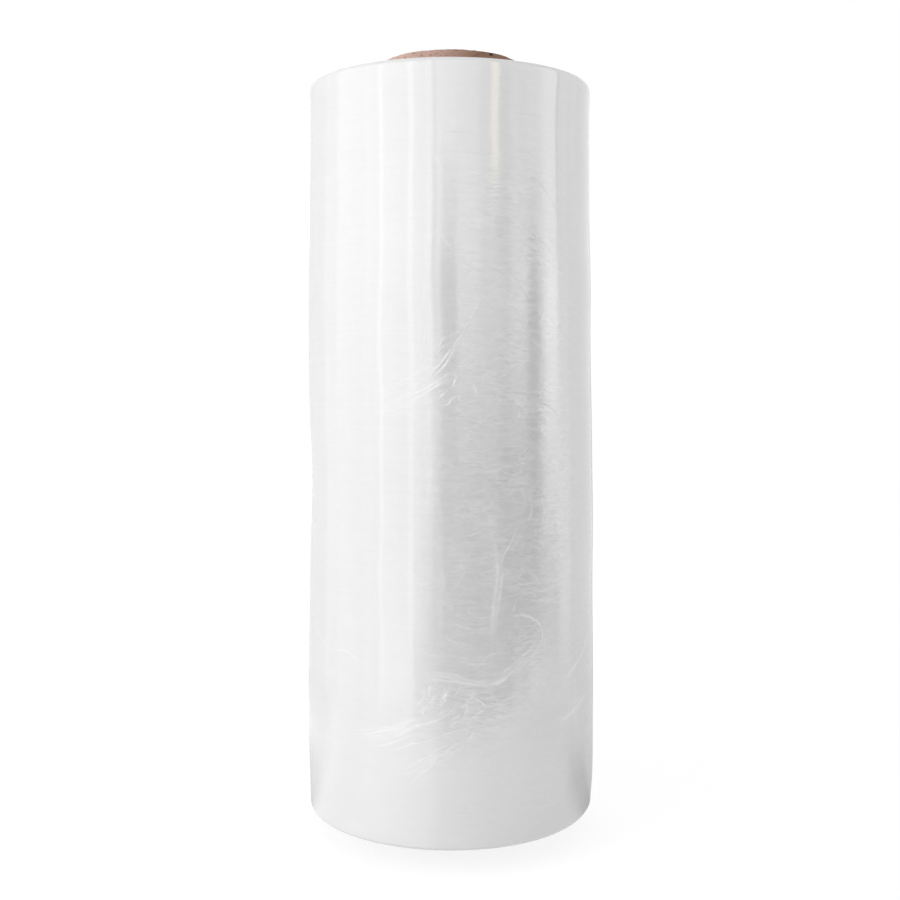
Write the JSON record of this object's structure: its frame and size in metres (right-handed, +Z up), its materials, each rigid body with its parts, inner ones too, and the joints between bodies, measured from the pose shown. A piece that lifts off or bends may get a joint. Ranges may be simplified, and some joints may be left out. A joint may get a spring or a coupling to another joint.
{
  "type": "stretch wrap roll",
  "caption": "Roll of clear stretch film wound on a paperboard core tube, standing on its end, to fit a mandrel or hand dispenser.",
  "frame": {"origin": "middle of the core's lower end, on the surface that the roll stands on", "axes": "+Z up along the core's axis; the side that the picture shows faces -Y"},
  "size_m": [0.2017, 0.2018, 0.535],
  "materials": {
    "paperboard": "matt kraft paperboard",
    "film": "glossy wound clear film, milky in the mass"
  },
  "bodies": {
    "root": {"core_tube": "paperboard", "film_roll": "film"}
  },
  "joints": []
}
